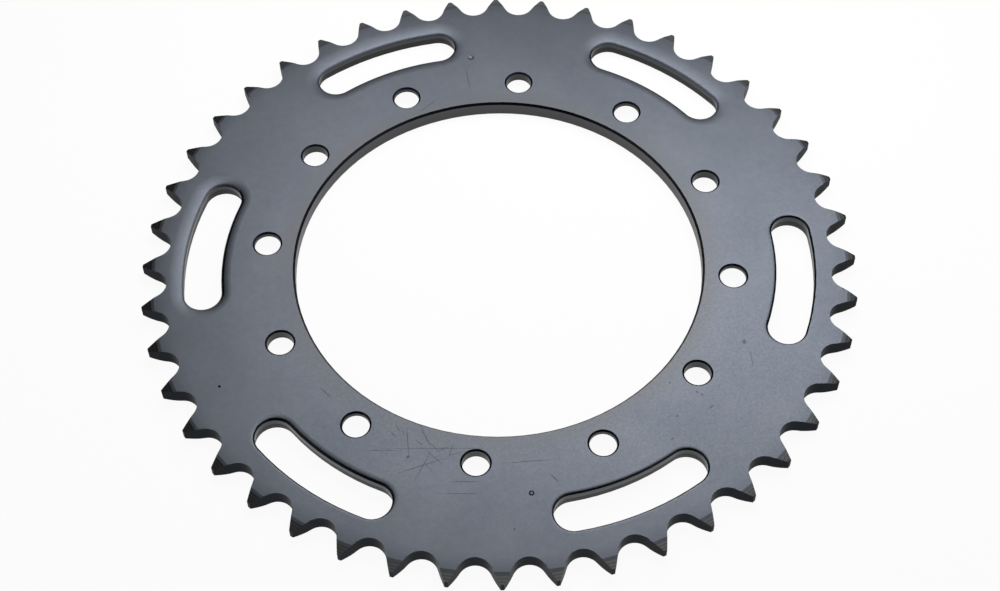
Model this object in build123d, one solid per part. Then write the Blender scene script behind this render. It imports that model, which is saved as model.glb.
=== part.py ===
from build123d import *
from math import degrees, pi, radians, sin, tan
import os

# Rear chain sprocket of a motorcycle: one flat steel plate with 44 cut teeth, a turned bore,
# twelve bolt holes and six punched lightening slots.
# Millimetres, +Z up. The origin is on the bore axis at the underside, and +X runs through a bolt hole.
# The countersunk side lies down, and the plain side that meets the hub is on top.

# Roller chain that runs on the teeth
chain_pitch = 15.875
roller_diameter = 10.16
tooth_count = 44

# Tooth form: a round roller seat, two slightly bulging flanks, and a narrow land on the tip circle
seat_radius = 5.13
seat_angle = 122.0
flank_radius = 100.0
tooth_height = 8.216
tooth_lead_angle = 0.3

# Rounded relief turned on both sides of the rim, which lets the tips in between the chain's plates
relief_width = 3.9
relief_depth = 1.0
relief_radius = 15.9

# Plate and bore, with the larger chamfer on the side where the hub enters
plate_thickness = 5.5
bore_diameter = 130.6
bore_chamfer = 0.7
edge_break = 0.3

# Bolt holes, countersunk from below to one of two depths in turn
bolt_count = 12
bolt_circle_diameter = 150.0
bolt_hole_diameter = 8.4
sink_angle = 90.0
shallow_sink_depth = 2.0
deep_sink_depth = 3.7

# Lightening slots: bent more tightly than the circle they lie on, set a little askew, and inside a rim
slot_angles = (30.2, 89.8, 151.2, 210.6, 270.3, 330.3)
rim_width = 5.43
slot_bend_radius = 81.5
slot_length = 49.8
slot_width = 12.0
slot_skew_angle = 1.3

# Punched wall of a slot: rolled over at the top edge, sheared straight, then broken out wider below
edge_roll = 0.6
shear_depth = 2.0
break_out = 0.35

# How far a cutting shape runs past the faces that it cuts
overcut = 1.0

pitch_radius = chain_pitch / (2 * sin(pi / tooth_count))
root_radius = pitch_radius - roller_diameter / 2
tip_radius = root_radius + tooth_height
bore_radius = bore_diameter / 2
hole_radius = bolt_hole_diameter / 2
slot_half_width = slot_width / 2
slot_circle_radius = root_radius - rim_width - slot_half_width


def turned_blank():
    """The disc before its teeth are cut, with a chamfered bore and the rim's relief on both sides."""
    relief_start_radius = tip_radius - relief_width
    upper_start = (relief_start_radius, plate_thickness)
    upper_end = (tip_radius, plate_thickness - relief_depth)
    lower_start = (relief_start_radius, 0)
    lower_end = (tip_radius, relief_depth)
    faces_and_bore = Polyline(
        lower_start,
        (bore_radius + edge_break, 0),
        (bore_radius, edge_break),
        (bore_radius, plate_thickness - bore_chamfer),
        (bore_radius + bore_chamfer, plate_thickness),
        upper_start,
    )
    upper_relief = RadiusArc(upper_start, upper_end, relief_radius)
    rim = Line(upper_end, lower_end)
    lower_relief = RadiusArc(lower_end, lower_start, relief_radius)
    return revolve(Plane.XZ * make_face([faces_and_bore, upper_relief, rim, lower_relief]), Axis.Z)


def tooth_gap():
    """The space between two teeth, along +X: half a roller seat and one flank, and their mirror image."""
    seat = JernArc((root_radius, 0), (0, 1), seat_radius, -seat_angle / 2)
    flank = JernArc(seat @ 1, seat % 1, flank_radius, degrees((tooth_height + overcut) / flank_radius))
    flank_end = flank @ 1
    reach = tip_radius + seat_radius + overcut
    mouth = Polyline(flank_end, (reach, flank_end.Y), (reach, 0), (root_radius, 0))
    half = make_face([seat, flank, mouth])
    gap = half + mirror(half, Plane.XZ)
    return Pos(0, 0, -overcut) * extrude(gap, plate_thickness + 2 * overcut)


def bolt_hole(sink_depth):
    """A bolt hole on the Z axis, with its countersink below."""
    sink_reach = sink_depth + overcut
    section = Polyline(
        (0, -overcut),
        (hole_radius + sink_reach * tan(radians(sink_angle / 2)), -overcut),
        (hole_radius, sink_depth),
        (hole_radius, plate_thickness + overcut),
        (0, plate_thickness + overcut),
        close=True,
    )
    return revolve(Plane.XZ * make_face(section), Axis.Z)


def slot_half_section():
    """Half of the space across a slot, from its centre line outwards, with the punched edge's form."""
    roll_foot = plate_thickness - edge_roll
    roll_reach = edge_roll + overcut
    section = Polyline(
        (0, -overcut),
        (slot_half_width + break_out, -overcut),
        (slot_half_width + break_out, 0),
        (slot_half_width, roll_foot - shear_depth),
        (slot_half_width, roll_foot),
        (slot_half_width + roll_reach, roll_foot + roll_reach),
        (0, roll_foot + roll_reach),
        close=True,
    )
    return Plane.XZ * make_face(section)


def lightening_slot():
    """What one slot takes out of the plate, with its middle on the origin and bent around -X."""
    half = slot_half_section()
    sweep = degrees((slot_length - slot_width) / slot_bend_radius)
    run = revolve(Pos(slot_bend_radius, 0, 0) * (half + mirror(half, Plane.YZ)), Axis.Z, sweep)
    end = revolve(half, Axis.Z, 180)
    far_end = Rot(0, 0, sweep) * Pos(slot_bend_radius, 0, 0) * end
    near_end = Pos(slot_bend_radius, 0, 0) * Rot(0, 0, 180) * end
    return Pos(-slot_bend_radius, 0, 0) * Rot(0, 0, -sweep / 2) * (run + far_end + near_end)


def sprocket():
    """The finished plate: turned, toothed, drilled and punched."""
    plate = turned_blank()
    half_tooth = 180 / tooth_count
    gap = tooth_gap()
    plate -= [place * gap for place in PolarLocations(0, tooth_count, tooth_lead_angle + half_tooth)]
    sinks = (shallow_sink_depth, deep_sink_depth)
    holes = [bolt_hole(depth) for depth in sinks]
    for index, place in enumerate(PolarLocations(bolt_circle_diameter / 2, bolt_count)):
        plate -= place * holes[index % len(holes)]
    slot = lightening_slot()
    middle = Pos(slot_circle_radius, 0, 0) * Rot(0, 0, -slot_skew_angle)
    for angle in slot_angles:
        plate -= Rot(0, 0, angle) * middle * slot
    return plate


os.makedirs("parts", exist_ok=True)
export_step(sprocket(), "parts/sprocket.step")
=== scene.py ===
import bpy
from math import atan2, cos, degrees, hypot, pi, radians, sin, tau
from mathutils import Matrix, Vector


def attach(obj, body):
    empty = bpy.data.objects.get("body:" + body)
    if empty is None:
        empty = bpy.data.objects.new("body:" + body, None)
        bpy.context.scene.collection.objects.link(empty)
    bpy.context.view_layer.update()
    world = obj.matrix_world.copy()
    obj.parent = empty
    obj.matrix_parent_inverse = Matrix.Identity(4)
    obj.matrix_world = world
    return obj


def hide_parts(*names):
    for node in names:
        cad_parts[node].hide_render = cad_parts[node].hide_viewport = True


# Chain sprocket of a motorcycle, laid down flat with its plain hub side up on a white table.
# Everything is in metres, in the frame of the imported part: the bore axis is Z, and z = 0 is the underside.
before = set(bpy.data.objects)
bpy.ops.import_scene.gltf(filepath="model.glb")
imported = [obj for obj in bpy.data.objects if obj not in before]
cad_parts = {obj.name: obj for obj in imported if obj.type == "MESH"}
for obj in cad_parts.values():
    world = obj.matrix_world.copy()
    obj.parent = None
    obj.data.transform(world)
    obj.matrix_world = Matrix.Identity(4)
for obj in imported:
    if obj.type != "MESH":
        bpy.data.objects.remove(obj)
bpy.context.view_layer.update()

MM = 0.001

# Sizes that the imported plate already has
TOOTH_COUNT = 44
PLATE_THICKNESS = 5.5 * MM
BORE_RADIUS = 65.3 * MM
BOLT_CIRCLE_RADIUS = 75.0 * MM
BOLT_COUNT = 12
HOLE_RADIUS = 4.2 * MM
SLOT_CIRCLE_RADIUS = 94.75 * MM
SLOT_BEND_RADIUS = 81.5 * MM
SLOT_HALF_WIDTH = 6.0 * MM
SLOT_LENGTH = 49.8 * MM
SLOT_SKEW = 1.3
SHEAR_FOOT = 2.9 * MM
ROOT_RADIUS = 106.2 * MM
TIP_RADIUS = 114.4 * MM

# The metal that the punch drew down along each slot, in millimetres: depth and width in the narrow rim,
# depth and width on the wide hub side. The small steep corner right at the cut is alike on all of them.
DRAWN_EDGES = {
    30.2: (0.66, 6.6, 0.64, 4.1),
    89.8: (0.70, 6.6, 0.68, 4.5),
    151.2: (0.62, 5.8, 0.72, 4.2),
    210.6: (0.03, 3.0, 0.42, 2.8),
    270.3: (0.03, 3.0, 0.16, 1.9),
    330.3: (0.03, 3.0, 0.26, 2.3),
}
DRAW_POWER = 3.0
CORNER_DROP = 0.36 * MM
CORNER_WIDTH = 0.85 * MM
DRAW_STEPS = 15
DRAW_STEP_POWER = 1.6
RUN_STEPS = 14
END_STEPS = 26

# The dark line along a slot's cut is painted shade; it starts this far below the face. On a slot whose
# rim side is hardly drawn, less than SLIGHT_RIM_DROP in millimetres, it is alike all round. On the others
# it starts higher on the hub side and lower on the rim's side, by DARK_DEPTH_CHANGE. The slots lie outside
# SLOT_BAND_START.
DARK_CORNER_DEPTH = 0.18 * MM
DARK_SIDE_DEPTH = 0.75 * MM
DARK_DEPTH_CHANGE = 0.4 * MM
SLIGHT_RIM_DROP = 0.1
SLOT_BAND_START = 81.0 * MM

# The rim, which hangs down a little towards the teeth, and the relief turned on it in two tapers, the first
# one still with the face's finish. The lathe's centre was a little off the bore's, and the radius at which
# the relief starts is measured from it.
TURNING_CENTRE = Vector((0.42, -0.15)) * MM
RIM_DROP_START = 104.3 * MM
RIM_DROP = 0.15 * MM
RIM_DROP_POWER = 2.6
RIM_DROP_STEPS = 7
RELIEF_START_RADIUS = 110.7 * MM
FIRST_TAPER_WIDTH = 0.9 * MM
FIRST_TAPER_DROP = 0.19 * MM
TIP_DROP = 1.03 * MM
RIM_STEPS = 6 * TOOTH_COUNT

# Broken edges and small dents
HOLE_EDGE_WIDTH = 0.6 * MM
HOLE_EDGE_DEPTH = 0.45 * MM
EDGE_ROUNDING = 0.09 * MM
DENT_PLACES = {"shallow": (27.4, 82.3), "ringed": (-26.8, -81.3), "pit": (-97.7, -7.1)}
SHALLOW_DENT_RADIUS = 1.9 * MM
SHALLOW_DENT_LIFT = 1.55 * MM
RING_RADIUS = 0.62 * MM
RING_GROOVE_RADIUS = 0.24 * MM
PIT_RADIUS = 0.45 * MM

# How far a cutting shape runs past what it cuts, and how far it stays above the face where its cut runs out
OVERCUT = 0.4 * MM
RIM_CUT_LIFT = 0.003 * MM
DRAW_CUT_LIFT = 0.01 * MM

# Points closer than this are one point, in the plate and along the seams of a cutting shape
PLATE_MERGE = 0.001 * MM
CUTTER_MERGE = 0.002 * MM

# Angles in degrees: faces flatter than the first are joined, edges sharper than the second are rounded, and
# faces that meet more flatly than the third are shaded as one
FLAT_ANGLE = 0.05
ROUNDED_ANGLE = 35
SMOOTH_ANGLE = 32

# How the faces are told apart: how much of its normal a wall and a chamfer may have along Z, how far past a
# size a face's middle may lie, and how near to the relief's border an edge of it lies
WALL_TILT = 0.4
CHAMFER_TILT = 0.93
MARGIN = 1 * MM
BORDER_TOLERANCE = 0.03 * MM

# The floor lies a gap below the underside, so that the two faces never coincide. It is 12 metres wide, and
# the camera, glossy surfaces and glass see it as plain white, by this share.
FLOOR_GAP = 0.02 * MM
FLOOR_SIZE = 12
WHITE_SHARE = 0.94


def select_only(piece):
    """Makes this the one selected and active object."""
    bpy.ops.object.select_all(action="DESELECT")
    piece.select_set(True)
    bpy.context.view_layer.objects.active = piece


def apply_modifier(piece, kind, **settings):
    """Adds a modifier with its settings and applies it."""
    select_only(piece)
    modifier = piece.modifiers.new(kind.lower(), kind)
    for name, value in settings.items():
        setattr(modifier, name, value)
    bpy.ops.object.modifier_apply(modifier=modifier.name)


def copied_plate():
    """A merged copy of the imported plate, which gets the finish."""
    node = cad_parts["sprocket"]
    plate = bpy.data.objects.new("finished_sprocket", node.data.copy())
    bpy.context.scene.collection.objects.link(plate)
    plate.data.materials.clear()
    select_only(plate)
    bpy.ops.mesh.customdata_custom_splitnormals_clear()
    bpy.ops.object.mode_set(mode="EDIT")
    bpy.ops.mesh.select_all(action="SELECT")
    bpy.ops.mesh.remove_doubles(threshold=PLATE_MERGE)
    bpy.ops.mesh.mark_sharp(clear=True)
    bpy.ops.object.mode_set(mode="OBJECT")
    return plate


def drawn_profile(points, name):
    """A new object in edit mode that holds these points joined by edges, all of them selected."""
    bpy.ops.object.select_all(action="DESELECT")
    bpy.ops.mesh.primitive_plane_add(size=MM, location=(0, 0, 0))
    cutter = bpy.context.object
    cutter.name = name
    bpy.ops.object.mode_set(mode="EDIT")
    bpy.ops.mesh.select_all(action="SELECT")
    bpy.ops.mesh.merge(type="CENTER")
    bpy.ops.transform.translate(value=points[0])
    for last, point in zip(points, points[1:]):
        bpy.ops.mesh.extrude_region_move(TRANSFORM_OT_translate={"value": point - last})
    bpy.ops.mesh.select_all(action="SELECT")
    return cutter


def spin_profile(steps, angle, centre):
    """Sweeps the selected profile anticlockwise round a vertical axis. Spin itself turns clockwise."""
    bpy.ops.mesh.spin(steps=steps, angle=-angle, center=(centre.x, centre.y, 0), axis=(0, 0, 1))


def close_cutter():
    """Merges the swept shape's seams, turns its faces outwards and leaves edit mode."""
    bpy.ops.mesh.select_all(action="SELECT")
    bpy.ops.mesh.remove_doubles(threshold=CUTTER_MERGE)
    bpy.ops.mesh.fill_holes(sides=0)
    bpy.ops.mesh.normals_make_consistent(inside=False)
    bpy.ops.object.mode_set(mode="OBJECT")


def rim_cutter():
    """What the drooping rim and its turned relief take off the plate's upper face."""
    profile = [(RIM_DROP_START - OVERCUT, -OVERCUT / 4)]
    for step in range(RIM_DROP_STEPS + 1):
        part = step / RIM_DROP_STEPS
        radius = RIM_DROP_START + part * (RELIEF_START_RADIUS - RIM_DROP_START)
        profile.append((radius, RIM_DROP * part**RIM_DROP_POWER - RIM_CUT_LIFT * (1 - part)))
    profile.append((RELIEF_START_RADIUS + FIRST_TAPER_WIDTH, RIM_DROP + FIRST_TAPER_DROP))
    slope = (TIP_DROP - RIM_DROP - FIRST_TAPER_DROP) / (TIP_RADIUS - RELIEF_START_RADIUS - FIRST_TAPER_WIDTH)
    profile.append((TIP_RADIUS + 2 * OVERCUT, TIP_DROP + slope * 2 * OVERCUT))
    profile.append((TIP_RADIUS + 2 * OVERCUT, -2 * OVERCUT))
    profile.append((RIM_DROP_START - OVERCUT, -2 * OVERCUT))
    profile.append(profile[0])
    x, y = TURNING_CENTRE
    points = [Vector((x + radius, y, PLATE_THICKNESS - depth)) for radius, depth in profile]
    cutter = drawn_profile(points, "rim_cutter")
    bpy.ops.mesh.remove_doubles(threshold=CUTTER_MERGE)
    spin_profile(RIM_STEPS, tau, TURNING_CENTRE)
    close_cutter()
    return cutter


def drawn_depth(edge, reach, rim_share):
    """How deep a drawn edge lies at this distance from the cut; rim_share is 1 on the rim's side."""
    rim_drop, rim_width, hub_drop, hub_width = [size * MM for size in edge]
    width = hub_width + rim_share * (rim_width - hub_width)
    drop = hub_drop + rim_share * (rim_drop - hub_drop)
    slope = drop * max(0, 1 - reach / width) ** DRAW_POWER
    corner = CORNER_DROP * max(0, 1 - reach / CORNER_WIDTH) ** 2
    lift = DRAW_CUT_LIFT * min(1, reach / width)
    rise = max(0, reach / width - 1) * OVERCUT
    return slope + corner - lift - rise


def drawn_edge_cutter(angle):
    """What a punched slot's drawn-down edge takes off the plate's face, for the slot at this angle."""
    lean = radians(angle - SLOT_SKEW)
    half_sweep = (SLOT_LENGTH / 2 - SLOT_HALF_WIDTH) / SLOT_BEND_RADIUS
    middle = Vector((cos(radians(angle)), sin(radians(angle)))) * SLOT_CIRCLE_RADIUS
    bend_centre = middle - Vector((cos(lean), sin(lean))) * SLOT_BEND_RADIUS

    def towards(turn):
        """The direction from the bend's centre to the slot's centre line, this far from its middle."""
        return Vector((cos(lean + turn), sin(lean + turn)))

    edge = DRAWN_EDGES[angle]
    widest = max(edge) * MM
    reaches = [-OVERCUT]
    reaches += [widest * (step / DRAW_STEPS) ** DRAW_STEP_POWER for step in range(DRAW_STEPS + 1)]
    reaches += [widest + OVERCUT, widest + 2 * OVERCUT]
    start = towards(-half_sweep)
    places = [bend_centre + start * (SLOT_BEND_RADIUS + SLOT_HALF_WIDTH + reach) for reach in reaches]
    cutter = drawn_profile([Vector((*place, PLATE_THICKNESS)) for place in places], "drawn_edge_cutter")
    spin_profile(RUN_STEPS, 2 * half_sweep, bend_centre)
    spin_profile(END_STEPS, pi, bend_centre + towards(half_sweep) * SLOT_BEND_RADIUS)
    spin_profile(RUN_STEPS, -2 * half_sweep, bend_centre)
    spin_profile(END_STEPS, pi, bend_centre + start * SLOT_BEND_RADIUS)
    bpy.ops.object.mode_set(mode="OBJECT")
    for vertex in cutter.data.vertices:
        from_bend = Vector(vertex.co[:2]) - bend_centre
        turn = towards(0).angle_signed(from_bend)
        out = towards(max(-half_sweep, min(half_sweep, -turn)))
        across = from_bend - out * SLOT_BEND_RADIUS
        reach = across.length - SLOT_HALF_WIDTH
        if reach > widest + 1.5 * OVERCUT:
            vertex.co.z = PLATE_THICKNESS + 2 * OVERCUT
        else:
            rim_share = (1 + across.normalized().dot(out)) / 2
            vertex.co.z = PLATE_THICKNESS - drawn_depth(edge, reach, rim_share)
    bpy.ops.object.mode_set(mode="EDIT")
    close_cutter()
    return cutter


def hole_edge_cutter(index):
    """The cone that breaks the top edge of one bolt hole."""
    turn = tau * index / BOLT_COUNT
    past = OVERCUT / 2
    widening = HOLE_EDGE_WIDTH / HOLE_EDGE_DEPTH
    bpy.ops.object.select_all(action="DESELECT")
    bpy.ops.mesh.primitive_cone_add(
        vertices=72,
        radius1=HOLE_RADIUS - past * widening,
        radius2=HOLE_RADIUS + HOLE_EDGE_WIDTH + past * widening,
        depth=HOLE_EDGE_DEPTH + 2 * past,
        location=(
            BOLT_CIRCLE_RADIUS * cos(turn),
            BOLT_CIRCLE_RADIUS * sin(turn),
            PLATE_THICKNESS - HOLE_EDGE_DEPTH / 2,
        ),
    )
    return bpy.context.object


def dent_place(name, lift=0):
    """Where the middle of a dent's cutting shape lies, this far above the face."""
    x, y = DENT_PLACES[name]
    return (x * MM, y * MM, PLATE_THICKNESS + lift)


def dent_cutters():
    """The shapes of three small dents in the face: a shallow dimple, a ringed punch mark and a pit."""
    bpy.ops.mesh.primitive_uv_sphere_add(
        segments=40,
        ring_count=24,
        radius=SHALLOW_DENT_RADIUS,
        location=dent_place("shallow", SHALLOW_DENT_LIFT),
    )
    cutters = [bpy.context.object]
    bpy.ops.mesh.primitive_torus_add(
        major_segments=40,
        minor_segments=12,
        major_radius=RING_RADIUS,
        minor_radius=RING_GROOVE_RADIUS,
        location=dent_place("ringed"),
    )
    cutters.append(bpy.context.object)
    bpy.ops.mesh.primitive_uv_sphere_add(
        segments=24, ring_count=12, radius=PIT_RADIUS, location=dent_place("pit")
    )
    cutters.append(bpy.context.object)
    return cutters


def cut_with(plate, cutters):
    """Takes the cutters' shapes off the plate."""
    select_only(cutters[0])
    for cutter in cutters:
        cutter.select_set(True)
    bpy.ops.object.join()
    cutter = bpy.context.object
    apply_modifier(plate, "BOOLEAN", object=cutter, operation="DIFFERENCE", solver="EXACT")
    bpy.data.objects.remove(cutter)


# The plate's finishes, in the order of its material slots
FINISHES = (
    "face",
    "relief",
    "chamfer",
    "tooth_wall",
    "bore_wall",
    "hole_wall",
    "sheared_wall",
    "broken_wall",
)


def turned_radius(place):
    """The distance from the axis that the rim was turned about."""
    return (Vector(place[:2]) - TURNING_CENTRE).length


def on_painted_shade_line(face):
    """Whether a face is in the painted shade along a slot's cut, a dark line that a drawn-down rim side
    doesn't get.
    """
    x, y, z = face.center
    turn = degrees(atan2(y, x)) % 360
    rim_drop = DRAWN_EDGES[min(DRAWN_EDGES, key=lambda angle: abs(angle - turn))][0]
    if rim_drop < SLIGHT_RIM_DROP:
        return z < PLATE_THICKNESS - DARK_CORNER_DEPTH
    towards_rim = Vector(face.normal[:2]).normalized().dot(Vector((x, y)).normalized())
    return z < PLATE_THICKNESS - DARK_SIDE_DEPTH + towards_rim * DARK_DEPTH_CHANGE


def finish_of(face):
    """Which finish a face of the plate has, by its place and the way it looks."""
    radius = hypot(face.center.x, face.center.y)
    tilt = abs(face.normal.z)
    holes_end = BOLT_CIRCLE_RADIUS + HOLE_RADIUS + MARGIN
    # Bolt-hole chamfers and the steep corners along the slots get the near-black chamfer colour, which is
    # painted shade
    if WALL_TILT < tilt < CHAMFER_TILT and radius < holes_end:
        return "chamfer"
    among_slots = SLOT_BAND_START < radius < RIM_DROP_START - MARGIN
    # Painted shade: the steep corner along a slot's cut takes the near-black chamfer colour
    if face.normal.z > WALL_TILT and among_slots and on_painted_shade_line(face):
        return "chamfer"
    if tilt > WALL_TILT:
        return "relief" if turned_radius(face.center) > RELIEF_START_RADIUS + FIRST_TAPER_WIDTH else "face"
    if radius > ROOT_RADIUS - MARGIN:
        return "tooth_wall"
    if radius < BORE_RADIUS + MARGIN:
        return "bore_wall"
    if radius < holes_end:
        return "hole_wall"
    return "sheared_wall" if face.center.z > SHEAR_FOOT else "broken_wall"


def finished_plate(materials):
    """The plate with its drooping rim, drawn and broken edges, dents, and the finish of each face."""
    plate = copied_plate()
    cut_with(plate, [rim_cutter()])
    cutters = [drawn_edge_cutter(angle) for angle in DRAWN_EDGES]
    cutters += [hole_edge_cutter(index) for index in range(BOLT_COUNT)]
    cutters += dent_cutters()
    cut_with(plate, cutters)
    select_only(plate)
    bpy.ops.object.mode_set(mode="EDIT")
    bpy.ops.mesh.select_all(action="SELECT")
    bpy.ops.mesh.remove_doubles(threshold=PLATE_MERGE)
    bpy.ops.mesh.dissolve_limited(angle_limit=radians(FLAT_ANGLE))
    bpy.ops.object.mode_set(mode="OBJECT")
    for name in FINISHES:
        plate.data.materials.append(materials[name])
    for face in plate.data.polygons:
        face.material_index = FINISHES.index(finish_of(face))
    apply_modifier(
        plate,
        "BEVEL",
        width=EDGE_ROUNDING,
        segments=2,
        limit_method="ANGLE",
        angle_limit=radians(ROUNDED_ANGLE),
    )
    select_only(plate)
    bpy.ops.object.shade_smooth_by_angle(angle=radians(SMOOTH_ANGLE))
    for edge in plate.data.edges:
        ends = [plate.data.vertices[index].co for index in edge.vertices]
        if all(abs(turned_radius(end) - RELIEF_START_RADIUS) < BORDER_TOLERANCE for end in ends):
            edge.use_edge_sharp = True
    apply_modifier(plate, "WEIGHTED_NORMAL", mode="FACE_AREA", weight=50, keep_sharp=True)
    return plate


def linear(hex_colour):
    """An sRGB hex colour as linear RGBA."""
    channels = [int(hex_colour[i : i + 2], 16) / 255 for i in (1, 3, 5)]
    return [c / 12.92 if c <= 0.04045 else ((c + 0.055) / 1.055) ** 2.4 for c in channels] + [1]


def add_node(tree, kind, inputs=None, **settings):
    """Adds one node with its settings. Each input is a value or the socket that is linked to it."""
    node = tree.nodes.new(kind)
    for name, value in settings.items():
        setattr(node, name, value)
    for name, value in (inputs or {}).items():
        if isinstance(value, bpy.types.NodeSocket):
            tree.links.new(value, node.inputs[name])
        else:
            node.inputs[name].default_value = value
    return node


def new_material(name):
    """An empty node tree of a new material, and the place on the object that its patterns follow."""
    material = bpy.data.materials.new(name)
    material.use_nodes = True
    material.node_tree.nodes.clear()
    return material, material.node_tree, add_node(material.node_tree, "ShaderNodeTexCoord").outputs["Object"]


def finish_material(tree, colour, roughness, bump, edge_colour="#ffffff"):
    """Ends a metal's tree in the shader. A darker edge colour dims what it mirrors at a grazing angle."""
    inputs = {
        "Base Color": colour,
        "Metallic": 1.0,
        "Roughness": roughness,
        "Specular Tint": linear(edge_colour),
        "Normal": bump.outputs["Normal"],
    }
    shader = add_node(tree, "ShaderNodeBsdfPrincipled", inputs)
    add_node(tree, "ShaderNodeOutputMaterial", {"Surface": shader.outputs["BSDF"]})


def per_size(millimetres):
    """The texture scale whose features are about this many millimetres across."""
    return 1 / (millimetres * MM)


def radius_of(tree, place):
    """A socket with the distance from the bore axis."""
    flat = {0: place, 1: (1, 1, 0)}
    flat = add_node(tree, "ShaderNodeVectorMath", flat, operation="MULTIPLY").outputs["Vector"]
    return add_node(tree, "ShaderNodeVectorMath", {0: flat}, operation="LENGTH").outputs["Value"]


# Scratches and nicks on the face, in millimetres: x, y, length, width and turn in degrees
SCRATCHES = (
    (-53.0, -49.5, 11.0, 0.35, -110),
    (-47.5, -50.5, 9.0, 0.35, -90),
    (-46.0, -55.5, 34.0, 0.25, -25),
    (-52.5, -59.0, 17.5, 0.30, -5),
    (-42.5, -58.0, 5.5, 0.30, -130),
    (-52.0, -59.0, 13.0, 0.30, 40),
    (-23.5, -71.0, 16.0, 0.30, -20),
    (-46.0, -72.5, 13.0, 0.25, -25),
    (-43.0, -69.5, 10.5, 0.30, -25),
    (-18.5, -79.5, 4.5, 0.50, -75),
    (55.0, -67.5, 7.0, 0.25, -110),
    (35.5, -77.5, 2.0, 0.55, 15),
    (-61.5, -49.0, 13.0, 0.25, -25),
    (22.5, 74.0, 11.0, 0.30, -105),
    (5.0, 68.5, 9.5, 0.30, 20),
    (-69.0, -23.0, 5.5, 0.35, -70),
    (-55.0, -54.5, 1.5, 1.00, 20),
    (34.0, -71.0, 1.0, 0.60, -75),
    (35.0, -72.5, 1.0, 0.60, -75),
    (56.0, -61.0, 2.0, 1.30, 60),
    (28.0, -64.5, 1.0, 0.60, 0),
    (24.5, -76.0, 1.0, 0.60, 30),
    (19.5, -82.5, 1.5, 0.50, 10),
    (-36.5, -90.0, 1.0, 0.60, 40),
    (-48.0, -58.0, 8.0, 0.25, -70),
    (-51.0, -60.0, 4.5, 0.25, -75),
    (-56.0, -45.5, 2.5, 0.35, -70),
    (-44.5, -56.5, 4.0, 0.25, 0),
    (-50.0, -51.5, 3.5, 0.25, -65),
    (-46.5, -55.0, 6.5, 0.25, -75),
    (-54.0, -44.0, 3.0, 0.30, -85),
    (-53.0, -46.0, 3.0, 0.25, -100),
    (-42.0, -59.5, 4.5, 0.20, -10),
)


def scratch_mask(tree, place):
    """A socket that is 1 in the middle of each scratch on the upper face and 0 away from all of them."""
    nearest = None
    for x, y, length, width, turn in SCRATCHES:
        local = add_node(
            tree,
            "ShaderNodeMapping",
            {
                "Vector": place,
                "Location": (x * MM, y * MM, PLATE_THICKNESS),
                "Rotation": (0, 0, radians(turn)),
                "Scale": (length / 2 * MM, width / 2 * MM, 1 * MM),
            },
            vector_type="TEXTURE",
        )
        away = {0: local.outputs[0]}
        away = add_node(tree, "ShaderNodeVectorMath", away, operation="LENGTH").outputs["Value"]
        if nearest:
            away = add_node(tree, "ShaderNodeMath", {0: nearest, 1: away}, operation="MINIMUM").outputs[0]
        nearest = away
    fade = {"Value": nearest, "From Min": 0.5, "From Max": 1.2, "To Min": 1.0, "To Max": 0.0}
    return add_node(tree, "ShaderNodeMapRange", fade, interpolation_type="SMOOTHSTEP").outputs["Result"]


# The oxide is browner beside the bore, and this fades out between two radii
BROWN_START = 66.0 * MM
BROWN_END = 74.0 * MM

# How deep a scratch is, against the grain's height of 1
SCRATCH_DEPTH = -2.5


def oxide_face_steel():
    """Steel plate, ground and given a hot black oxide: a satin blue-grey film with faint clouds."""
    # A real ground grain is too fine to show, so it is drawn 0.9 mm coarse.
    material, tree, place = new_material("black_oxide_on_ground_steel")
    clouds = {"Vector": place, "Scale": per_size(22), "Detail": 5.0, "Roughness": 0.6}
    clouds = add_node(tree, "ShaderNodeTexNoise", clouds).outputs["Fac"]
    mottle = {"Vector": place, "Scale": per_size(2.6), "Detail": 3.0, "Roughness": 0.6}
    mottle = add_node(tree, "ShaderNodeTexNoise", mottle).outputs["Fac"]
    grain = {"Vector": place, "Scale": per_size(0.9), "Detail": 3.0, "Roughness": 0.7}
    grain = add_node(tree, "ShaderNodeTexNoise", grain).outputs["Fac"]

    mixed = add_node(tree, "ShaderNodeMath", {0: clouds, 1: 0.7}, operation="MULTIPLY").outputs[0]
    mixed = {0: mottle, 1: 0.3, 2: mixed}
    mixed = add_node(tree, "ShaderNodeMath", mixed, operation="MULTIPLY_ADD").outputs[0]
    spread = {"Value": mixed, "From Min": 0.3, "From Max": 0.7}
    spread = add_node(tree, "ShaderNodeMapRange", spread).outputs["Result"]
    film = {"Factor": spread, "A": linear("#595e66"), "B": linear("#646870")}
    film = add_node(tree, "ShaderNodeMix", film, data_type="RGBA").outputs["Result"]
    brown = {
        "Value": radius_of(tree, place),
        "From Min": BROWN_START,
        "From Max": BROWN_END,
        "To Min": 0.6,
        "To Max": 0.0,
    }
    brown = add_node(tree, "ShaderNodeMapRange", brown, interpolation_type="SMOOTHSTEP").outputs["Result"]
    browned = {0: brown, 1: spread}
    browned = add_node(tree, "ShaderNodeMath", browned, operation="MULTIPLY", use_clamp=True).outputs[0]
    film = {"Factor": browned, "A": film, "B": linear("#5d5a58")}
    film = add_node(tree, "ShaderNodeMix", film, data_type="RGBA").outputs["Result"]
    scratched = scratch_mask(tree, place)
    worn = add_node(tree, "ShaderNodeMath", {0: scratched, 1: 0.6}, operation="MULTIPLY").outputs[0]
    film = {"Factor": worn, "A": film, "B": linear("#2e3138")}
    film = add_node(tree, "ShaderNodeMix", film, data_type="RGBA").outputs["Result"]

    roughness = {"Value": grain, "From Min": 0.3, "From Max": 0.7, "To Min": 0.45, "To Max": 0.52}
    roughness = add_node(tree, "ShaderNodeMapRange", roughness).outputs["Result"]
    height = {0: scratched, 1: SCRATCH_DEPTH, 2: grain}
    height = add_node(tree, "ShaderNodeMath", height, operation="MULTIPLY_ADD").outputs[0]
    bump = add_node(tree, "ShaderNodeBump", {"Height": height, "Strength": 0.12, "Distance": 0.012 * MM})
    finish_material(tree, film, roughness, bump)
    return material


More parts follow.
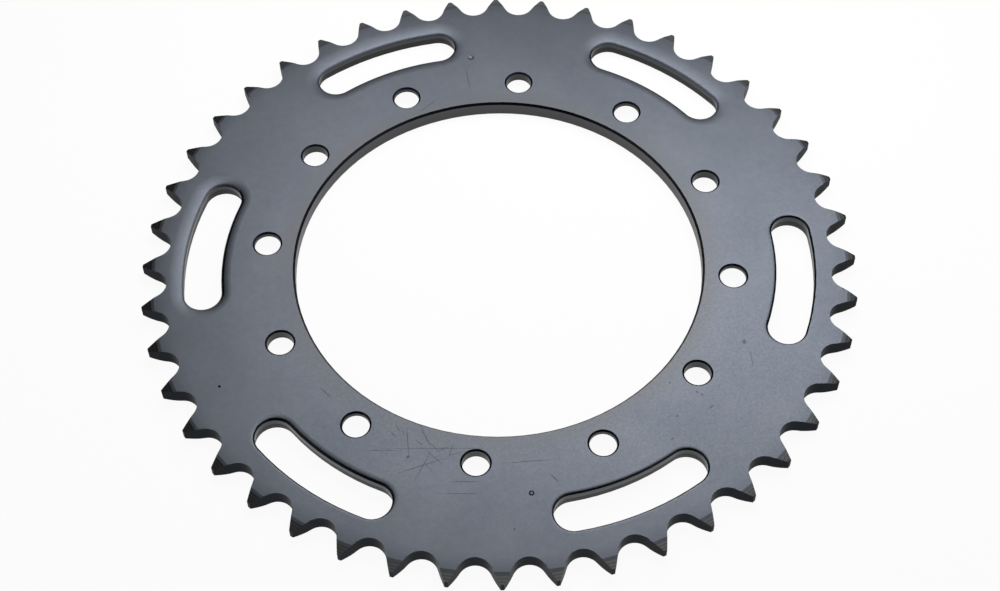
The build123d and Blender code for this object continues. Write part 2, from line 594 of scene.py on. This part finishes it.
# How far the tool moved on at each turn of the lathe, which is the distance between its grooves
FEED = 0.95 * MM


def turned_relief_steel():
    """The rim's relief, turned after the plate was cut: a neutral grey with a fine groove at each feed."""
    material, tree, place = new_material("black_oxide_on_turned_steel")
    radius = radius_of(tree, place)
    wander = {"Vector": place, "Scale": per_size(6), "Detail": 2.0}
    wander = add_node(tree, "ShaderNodeTexNoise", wander).outputs["Fac"]
    turns = add_node(tree, "ShaderNodeMath", {0: radius, 1: tau / FEED}, operation="MULTIPLY").outputs[0]
    turns = {0: wander, 1: 2.0, 2: turns}
    turns = add_node(tree, "ShaderNodeMath", turns, operation="MULTIPLY_ADD").outputs[0]
    groove = add_node(tree, "ShaderNodeMath", {0: turns}, operation="SINE").outputs[0]
    share = {"Value": groove, "From Min": -1.0, "From Max": 1.0}
    share = add_node(tree, "ShaderNodeMapRange", share).outputs["Result"]
    colour = {"Factor": share, "A": linear("#6a6a6c"), "B": linear("#808182")}
    colour = add_node(tree, "ShaderNodeMix", colour, data_type="RGBA").outputs["Result"]
    bump = add_node(tree, "ShaderNodeBump", {"Height": share, "Strength": 0.25, "Distance": 0.005 * MM})
    finish_material(tree, colour, 0.27, bump)
    return material


# Where a cut wall changes from its lower shade to its upper one, and how far its grain moves that border
SHADE_START = 2.6 * MM
SHADE_END = 5.0 * MM
SHADE_WANDER = 1.6 * MM


def cut_wall_steel(name, upper, lower, grain_size, roughness, depth, edge_colour="#ffffff"):
    """A cut wall under its oxide: two shades that change over at mid height, and the tool's marks."""
    material, tree, place = new_material(name)
    grain = {"Vector": place, "Scale": per_size(grain_size), "Detail": 4.0, "Roughness": 0.65}
    grain = add_node(tree, "ShaderNodeTexNoise", grain).outputs["Fac"]
    height = add_node(tree, "ShaderNodeSeparateXYZ", {"Vector": place}).outputs["Z"]
    level = {0: grain, 1: SHADE_WANDER, 2: height}
    level = add_node(tree, "ShaderNodeMath", level, operation="MULTIPLY_ADD").outputs[0]
    share = {"Value": level, "From Min": SHADE_START, "From Max": SHADE_END}
    share = add_node(tree, "ShaderNodeMapRange", share).outputs["Result"]
    colour = {"Factor": share, "A": linear(lower), "B": linear(upper)}
    colour = add_node(tree, "ShaderNodeMix", colour, data_type="RGBA").outputs["Result"]
    bump = add_node(tree, "ShaderNodeBump", {"Height": grain, "Strength": 0.5, "Distance": depth * MM})
    finish_material(tree, colour, roughness, bump, edge_colour)
    return material


def white_table():
    """The white floor: it keeps the object's shadow, and is seen nearly white."""
    bpy.ops.object.select_all(action="DESELECT")
    bpy.ops.mesh.primitive_plane_add(size=FLOOR_SIZE, location=(0, 0, -FLOOR_GAP))
    floor = bpy.context.object
    floor.name = "white_table"
    material, tree, _ = new_material("white_card")
    rays = add_node(tree, "ShaderNodeLightPath")
    seen = {0: rays.outputs["Is Camera Ray"], 1: rays.outputs["Is Glossy Ray"]}
    seen = add_node(tree, "ShaderNodeMath", seen, operation="MAXIMUM").outputs[0]
    seen = {0: seen, 1: rays.outputs["Is Transmission Ray"]}
    seen = add_node(tree, "ShaderNodeMath", seen, operation="MAXIMUM").outputs[0]
    share = add_node(tree, "ShaderNodeMath", {0: seen, 1: WHITE_SHARE}, operation="MULTIPLY").outputs[0]
    card = add_node(tree, "ShaderNodeBsdfDiffuse", {"Color": linear("#f4f4f4")}).outputs[0]
    white = add_node(tree, "ShaderNodeEmission", {"Color": (1, 1, 1, 1), "Strength": 1.0}).outputs[0]
    mixed = add_node(tree, "ShaderNodeMixShader", {0: share, 1: card, 2: white}).outputs[0]
    add_node(tree, "ShaderNodeOutputMaterial", {"Surface": mixed})
    floor.data.materials.append(material)


# The long soft lamp close behind the sprocket, and the dim room around it
LAMP_PLACE = Vector((90, 94, 228)) * MM
LAMP_LENGTH = 337 * MM
LAMP_WIDTH = 181 * MM
LAMP_TURN = 13.3
LAMP_POWER = 0.78

# The room's light: each wall's direction as azimuth and height in degrees, the angle at which it is full
# and the one at which it has ended, and its strength
WALLS = {
    "back wall": (62, 19, 7, 27, 0.47),
    "ceiling": (0, 80, 8, 30, 0.42),
    "left wall": (166, 20, 8, 32, 0.8),
    "right wall": (308, 12, 8, 32, 1.0),
}
ROOM_STRENGTH = 0.03


def studio_light():
    """One long softbox that stands close, high up beyond the object, in a dim room."""
    data = bpy.data.lights.new("softbox", "AREA")
    data.shape = "RECTANGLE"
    data.size = LAMP_LENGTH
    data.size_y = LAMP_WIDTH
    data.energy = LAMP_POWER
    lamp = bpy.data.objects.new("softbox", data)
    bpy.context.scene.collection.objects.link(lamp)
    lamp.location = LAMP_PLACE
    lamp.rotation_euler = LAMP_PLACE.to_track_quat("Z", "Y").to_euler()
    lamp.rotation_euler.rotate_axis("Z", radians(LAMP_TURN))
    lamp.visible_camera = False

    world = bpy.data.worlds.new("studio")
    bpy.context.scene.world = world
    world.use_nodes = True
    tree = world.node_tree
    tree.nodes.clear()
    place = add_node(tree, "ShaderNodeTexCoord").outputs["Generated"]
    strength = ROOM_STRENGTH
    for azimuth, height, full, end, wall_strength in WALLS.values():
        level = cos(radians(height))
        towards = (level * cos(radians(azimuth)), level * sin(radians(azimuth)), sin(radians(height)))
        aligned = {0: place, 1: towards}
        aligned = add_node(tree, "ShaderNodeVectorMath", aligned, operation="DOT_PRODUCT").outputs["Value"]
        wall = {
            "Value": aligned,
            "From Min": cos(radians(end)),
            "From Max": cos(radians(full)),
            "To Max": wall_strength,
        }
        wall = add_node(tree, "ShaderNodeMapRange", wall, interpolation_type="SMOOTHSTEP").outputs["Result"]
        strength = add_node(tree, "ShaderNodeMath", {0: wall, 1: strength}, operation="ADD").outputs[0]
    glow = add_node(tree, "ShaderNodeBackground", {"Color": (1, 1, 1, 1), "Strength": strength})
    add_node(tree, "ShaderNodeOutputWorld", {"Surface": glow.outputs[0]})


# The photograph's camera, solved from the bolt holes, bore and teeth
CAMERA_PLACE = Vector((-146.6, -328.7, 505.8)) * MM
CAMERA_AIM = Vector((-5.5, -12.9, 5.5)) * MM
CAMERA_ROLL = -0.876
CAMERA_LENS = 69.18


def photo_camera():
    """The camera at the photograph's viewing angle."""
    data = bpy.data.cameras.new("camera")
    data.lens = CAMERA_LENS
    data.sensor_width = 36
    data.clip_start = 0.01
    camera = bpy.data.objects.new("camera", data)
    bpy.context.scene.collection.objects.link(camera)
    camera.location = CAMERA_PLACE
    camera.rotation_euler = (CAMERA_AIM - CAMERA_PLACE).to_track_quat("-Z", "Y").to_euler()
    camera.rotation_euler.rotate_axis("Z", radians(CAMERA_ROLL))
    bpy.context.scene.camera = camera


materials = {
    "face": oxide_face_steel(),
    "relief": turned_relief_steel(),
    # Tooth walls cut by a hob: nearly black with a blue cast, and dark at a grazing angle as well
    "tooth_wall": cut_wall_steel(
        "black_oxide_on_hobbed_steel", "#1b1f26", "#1c1e20", 1.4, 0.4, 0.02, "#d0d0d0"
    ),
    # The bore's turned wall, the lightest of the walls
    "bore_wall": cut_wall_steel("black_oxide_on_bored_steel", "#4a4a4d", "#454546", 2.0, 0.4, 0.01),
    # Drilled walls, a little darker lower down
    "hole_wall": cut_wall_steel("black_oxide_on_drilled_steel", "#424345", "#3a3a3a", 1.5, 0.4, 0.015),
    # The sheared upper part of a punched wall, which the punch left glossier than the rest
    "sheared_wall": cut_wall_steel("black_oxide_on_sheared_steel", "#424448", "#454648", 1.2, 0.35, 0.01),
    # Its broken lower part: rough, with a fine grain
    "broken_wall": cut_wall_steel("black_oxide_on_broken_steel", "#373839", "#333333", 0.7, 0.55, 0.05),
    # Chamfers and the corners along the slots: a thin, almost black line of painted shade over their oxide
    "chamfer": cut_wall_steel("chamfer_oxide_with_painted_shade", "#22252a", "#202123", 1.2, 0.4, 0.01),
}
plate = finished_plate(materials)
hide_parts("sprocket")
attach(plate, "root")
white_table()
studio_light()
photo_camera()

bpy.context.scene.view_settings.view_transform = "Standard"
